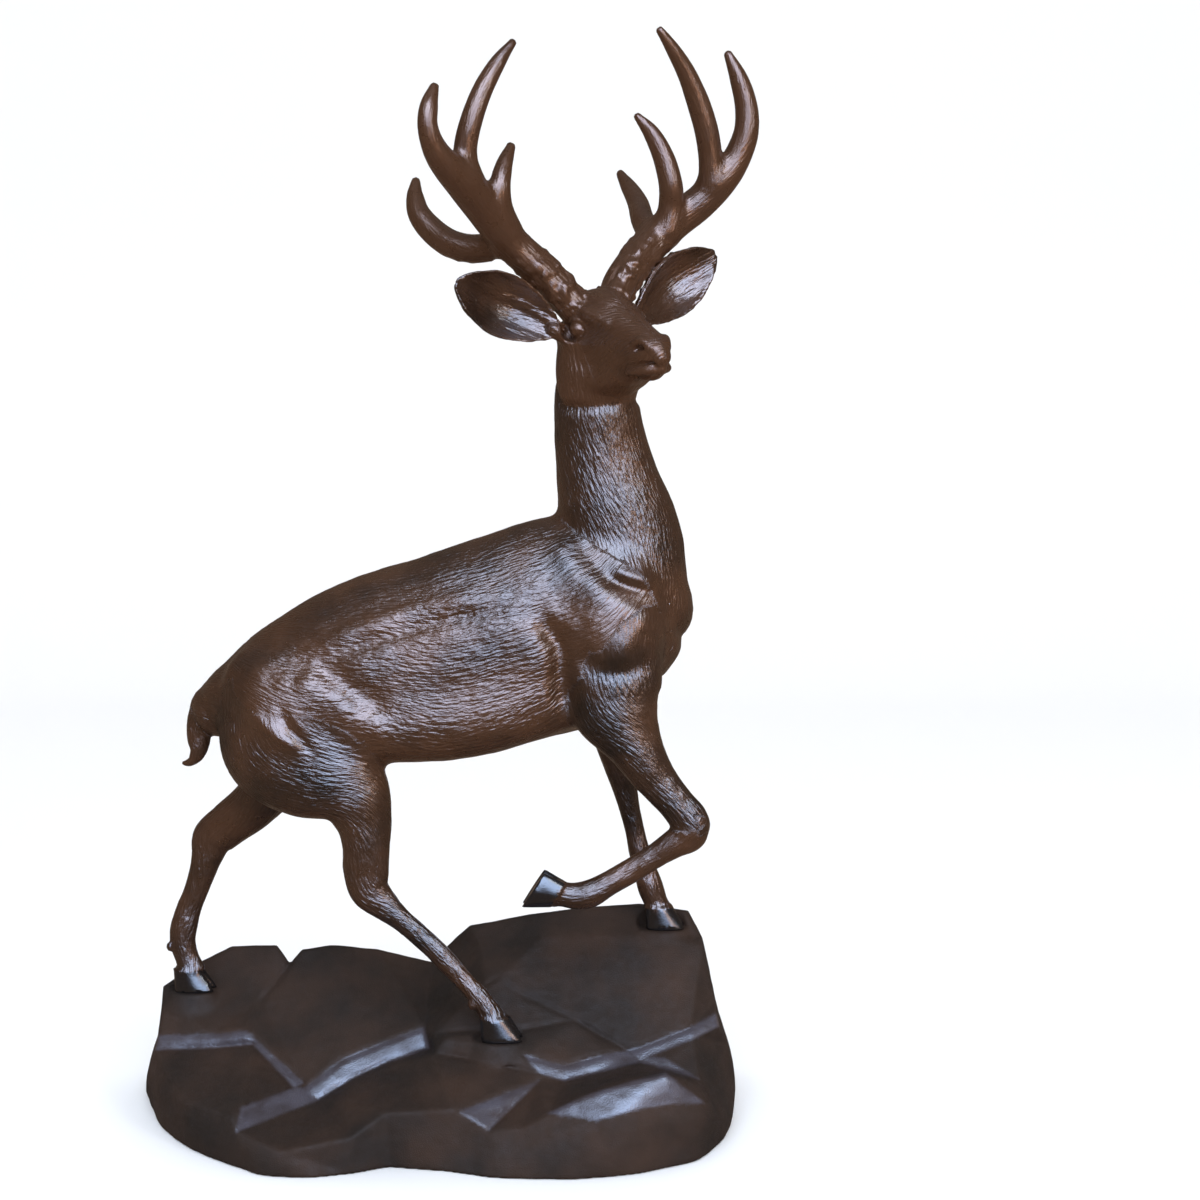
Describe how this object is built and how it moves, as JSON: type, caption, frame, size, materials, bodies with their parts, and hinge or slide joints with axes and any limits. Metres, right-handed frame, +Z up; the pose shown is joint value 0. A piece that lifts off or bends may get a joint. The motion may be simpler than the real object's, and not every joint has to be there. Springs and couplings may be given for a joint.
{
  "type": "deer statue",
  "caption": "Life-size bronze stag with branched antlers, striding over a boulder base with one foreleg raised; stands on the flat underside of its rock.",
  "frame": {"origin": "centre of the base's flat underside, on the floor", "axes": "+X along the base towards the stag's head end, +Y to the stag's left, +Z up"},
  "size_m": [1.2092, 0.6014, 2.0253],
  "materials": {
    "stag_bronze": "dark brown patinated cast bronze, waxed, semi-gloss",
    "rock_bronze": "dark brown patinated cast bronze, brushed and waxed"
  },
  "bodies": {
    "root": {"stag": "stag_bronze", "rock_base": "rock_bronze"}
  },
  "joints": []
}
